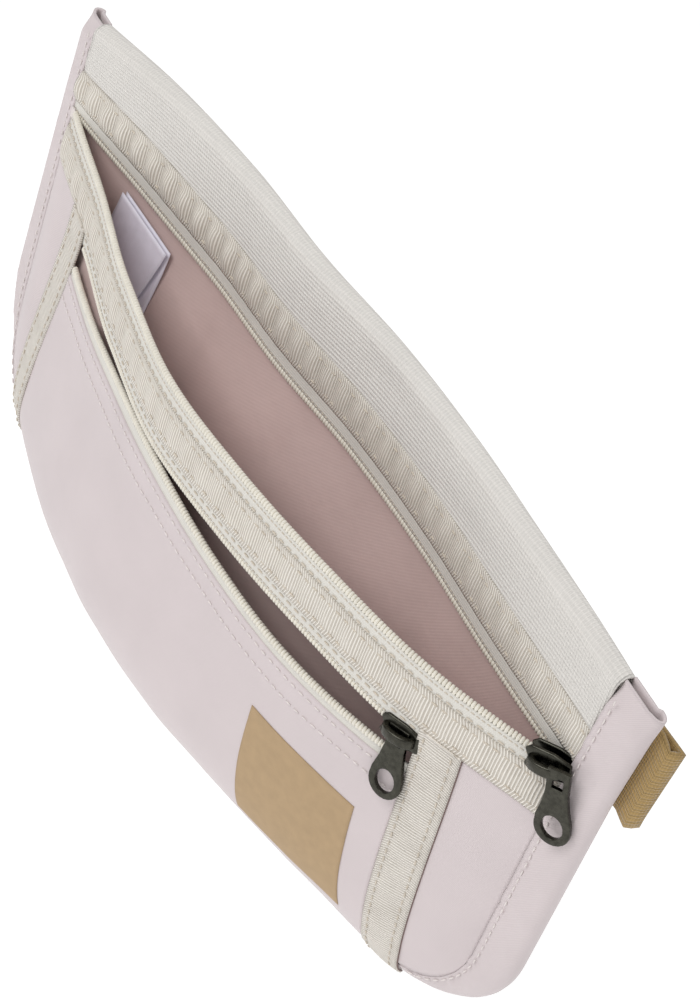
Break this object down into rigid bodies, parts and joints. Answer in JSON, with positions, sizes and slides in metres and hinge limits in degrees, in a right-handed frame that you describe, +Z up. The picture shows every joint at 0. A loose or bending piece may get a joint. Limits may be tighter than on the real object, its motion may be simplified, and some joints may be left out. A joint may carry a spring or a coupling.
{
  "type": "waist pouch",
  "caption": "Flat fabric travel pouch on a buckled elastic waist belt, with an open zipped main room, a zipped front pocket and ring-pull sliders.",
  "frame": {"origin": "middle of the belt line, 20 mm below the top fold, on the back panel's inner face", "axes": "+X along the pouch to the end where the sliders rest, +Y towards the wearer's body, +Z up"},
  "size_m": [0.3011, 0.0619, 0.1467],
  "materials": {
    "pink_twill": "satin",
    "knit_mesh": "matte",
    "grosgrain": "satin",
    "zip_tape": "matte",
    "zip_coil": "satin",
    "lining": "satin",
    "label": "satin",
    "patch": "matte",
    "elastic": "matte",
    "gunmetal": "gloss",
    "buckle_plastic": "satin"
  },
  "bodies": {
    "pouch": {"back_lining": "lining", "back_panel": "knit_mesh", "belt_left": "elastic", "belt_right": "elastic", "bottom_binding": "pink_twill", "buckle_female": "buckle_plastic", "care_label": "label", "care_label_under": "label", "end_band_left": "pink_twill", "end_band_right": "pink_twill", "front_corner_left": "pink_twill", "front_corner_right": "pink_twill", "front_panel": "pink_twill", "logo_patch": "patch", "main_coil_back": "zip_coil", "main_coil_front": "zip_coil", "main_stop_left": "zip_tape", "main_stop_right": "zip_tape", "main_tape_back": "zip_tape", "main_tape_front": "zip_tape", "mid_grosgrain": "grosgrain", "pocket_coil_lower": "zip_coil", "pocket_coil_upper": "zip_coil", "pocket_divider": "lining", "pocket_stop_left": "zip_tape", "pocket_stop_right": "zip_tape", "pocket_tape_lower": "zip_tape", "pocket_tape_upper": "zip_tape", "top_strip": "knit_mesh", "upper_grosgrain": "grosgrain", "vertical_tape_left": "grosgrain", "vertical_tape_right": "grosgrain"},
    "main_slider": {"main_slider": "gunmetal"},
    "main_pull": {"main_pull": "gunmetal"},
    "pocket_slider": {"pocket_slider": "gunmetal"},
    "pocket_pull": {"pocket_pull": "gunmetal"},
    "buckle_male": {"buckle_male": "buckle_plastic", "belt_tail": "elastic"},
    "belt_adjuster": {"belt_adjuster": "buckle_plastic"},
    "belt_keeper": {"belt_keeper": "buckle_plastic"}
  },
  "joints": [
    {"name": "main_slider_travel", "type": "hinge", "parent": "pouch", "child": "main_slider", "pos_m": [0, 0.32497, 0], "axis": [0, 0, 1], "range_deg": [-40.5, 0]},
    {"name": "main_pull_swing", "type": "hinge", "parent": "main_slider", "child": "main_pull", "pos_m": [0.12626, -0.01021, -0.0165], "axis": [0.9039, 0.3405, 0.2588], "range_deg": [-150, 3]},
    {"name": "pocket_slider_travel", "type": "hinge", "parent": "pouch", "child": "pocket_slider", "pos_m": [0, 0.32497, 0], "axis": [0, 0, 1], "range_deg": [-30.5, 0]},
    {"name": "pocket_pull_swing", "type": "hinge", "parent": "pocket_slider", "child": "pocket_pull", "pos_m": [0.09474, -0.01816, -0.0385], "axis": [0.9545, 0.2636, 0.1392], "range_deg": [-145, 1]},
    {"name": "buckle_release", "type": "slide", "parent": "pouch", "child": "buckle_male", "axis": [1, 0, 0], "range_m": [0, 0.024], "deforming": ["belt_tail"]},
    {"name": "adjuster_slide", "type": "slide", "parent": "pouch", "child": "belt_adjuster", "axis": [1, 0, 0], "range_m": [-0.045, 0.015]},
    {"name": "keeper_slide", "type": "slide", "parent": "pouch", "child": "belt_keeper", "axis": [1, 0, 0], "range_m": [-0.02, 0.02]}
  ]
}
